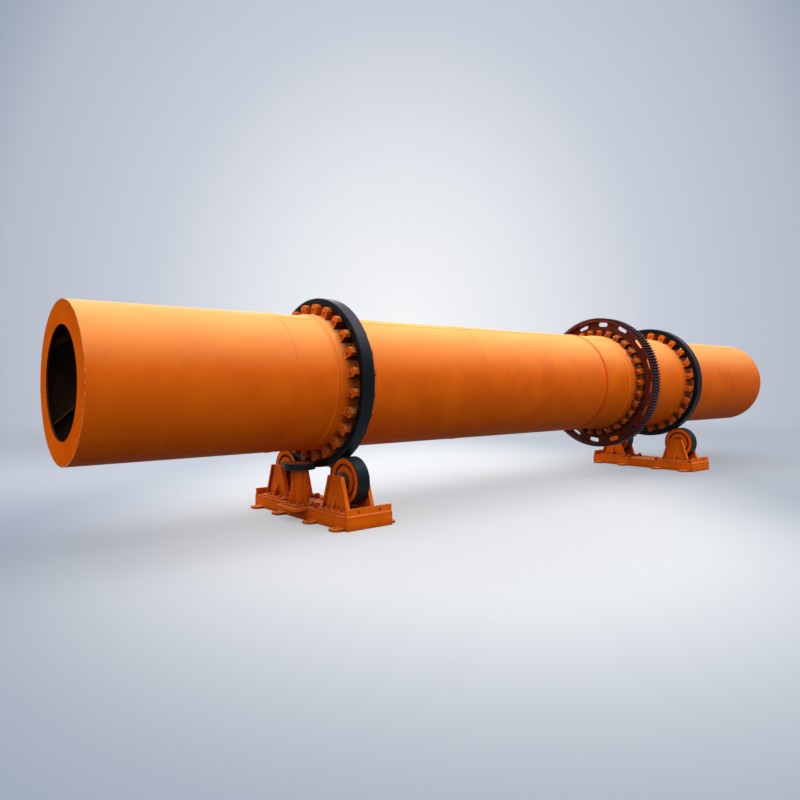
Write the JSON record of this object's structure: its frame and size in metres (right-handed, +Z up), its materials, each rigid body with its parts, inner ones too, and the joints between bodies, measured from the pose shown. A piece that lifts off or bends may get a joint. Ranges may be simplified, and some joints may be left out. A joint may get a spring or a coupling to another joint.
{
  "type": "rotary drum dryer",
  "caption": "Long rotary dryer drum on two riding tyres, turning on support rollers in bolted-down stations, with a girth gear and thrust rollers.",
  "frame": {"origin": "on the floor, below the middle of the drum", "axes": "+X along the drum from inlet to outlet, +Y to the left seen from the inlet, +Z up"},
  "size_m": [10.2, 1.704, 2.0621],
  "materials": {
    "orange_paint": "semi-gloss orange machine enamel",
    "tyre_steel": "dark rolled steel with a blue-green oily sheen",
    "gear_primer": "satin red-brown primer",
    "shaft_steel": "dark turned steel",
    "flight_steel": "thin orange-brown shop primer"
  },
  "bodies": {
    "drum": {"drum_shell": "orange_paint", "inlet_end_plate": "orange_paint", "outlet_end_plate": "orange_paint", "feed_flights": "flight_steel", "lifting_flights": "flight_steel", "front_tyre": "tyre_steel", "front_tyre_wrapper": "orange_paint", "front_tyre_pads": "orange_paint", "front_stop_blocks": "orange_paint", "rear_tyre": "tyre_steel", "rear_tyre_wrapper": "orange_paint", "rear_tyre_pads": "orange_paint", "rear_stop_blocks": "orange_paint", "girth_gear": "gear_primer", "gear_wrapper": "orange_paint", "gear_brackets": "orange_paint"},
    "stations": {"front_base_frame": "orange_paint", "front_deck": "orange_paint", "front_end_rails": "orange_paint", "front_anchor_lugs": "orange_paint", "front_left_stands": "orange_paint", "front_right_stands": "orange_paint", "front_thrust_stands": "orange_paint", "rear_base_frame": "orange_paint", "rear_deck": "orange_paint", "rear_end_rails": "orange_paint", "rear_anchor_lugs": "orange_paint", "rear_left_stands": "orange_paint", "rear_right_stands": "orange_paint"},
    "front_left_roller": {"front_left_roller_tread": "tyre_steel", "front_left_roller_wheel": "orange_paint", "front_left_roller_shaft": "shaft_steel"},
    "front_right_roller": {"front_right_roller_tread": "tyre_steel", "front_right_roller_wheel": "orange_paint", "front_right_roller_shaft": "shaft_steel"},
    "rear_left_roller": {"rear_left_roller_tread": "tyre_steel", "rear_left_roller_wheel": "orange_paint", "rear_left_roller_shaft": "shaft_steel"},
    "rear_right_roller": {"rear_right_roller_tread": "tyre_steel", "rear_right_roller_wheel": "orange_paint", "rear_right_roller_shaft": "shaft_steel"},
    "inlet_thrust_roller": {"inlet_thrust_rim": "tyre_steel", "inlet_thrust_hub": "orange_paint"},
    "outlet_thrust_roller": {"outlet_thrust_rim": "tyre_steel", "outlet_thrust_hub": "orange_paint"}
  },
  "joints": [
    {"name": "drum_spin", "type": "hinge", "parent": "stations", "child": "drum", "pos_m": [0, 0, 1.21012], "axis": [1, 0, 0], "continuous": true},
    {"name": "front_left_roller_spin", "type": "hinge", "parent": "stations", "child": "front_left_roller", "pos_m": [-2.92, 0.4866, 0.3673], "axis": [1, 0, 0], "continuous": true},
    {"name": "front_right_roller_spin", "type": "hinge", "parent": "stations", "child": "front_right_roller", "pos_m": [-2.92, -0.4866, 0.3673], "axis": [1, 0, 0], "continuous": true},
    {"name": "rear_left_roller_spin", "type": "hinge", "parent": "stations", "child": "rear_left_roller", "pos_m": [2.76, 0.4866, 0.3673], "axis": [1, 0, 0], "continuous": true},
    {"name": "rear_right_roller_spin", "type": "hinge", "parent": "stations", "child": "rear_right_roller", "pos_m": [2.76, -0.4866, 0.3673], "axis": [1, 0, 0], "continuous": true},
    {"name": "inlet_thrust_roller_spin", "type": "hinge", "parent": "stations", "child": "inlet_thrust_roller", "pos_m": [-3.127, 0, 0.43622], "axis": [0, 0, 1], "continuous": true},
    {"name": "outlet_thrust_roller_spin", "type": "hinge", "parent": "stations", "child": "outlet_thrust_roller", "pos_m": [-2.713, 0, 0.43622], "axis": [0, 0, 1], "continuous": true}
  ],
  "couplings": [
    {"joint": "front_left_roller_spin", "follows": "drum_spin", "ratio": -3.7459},
    {"joint": "front_right_roller_spin", "follows": "drum_spin", "ratio": -3.7459},
    {"joint": "rear_left_roller_spin", "follows": "drum_spin", "ratio": -3.7459},
    {"joint": "rear_right_roller_spin", "follows": "drum_spin", "ratio": -3.7459}
  ]
}
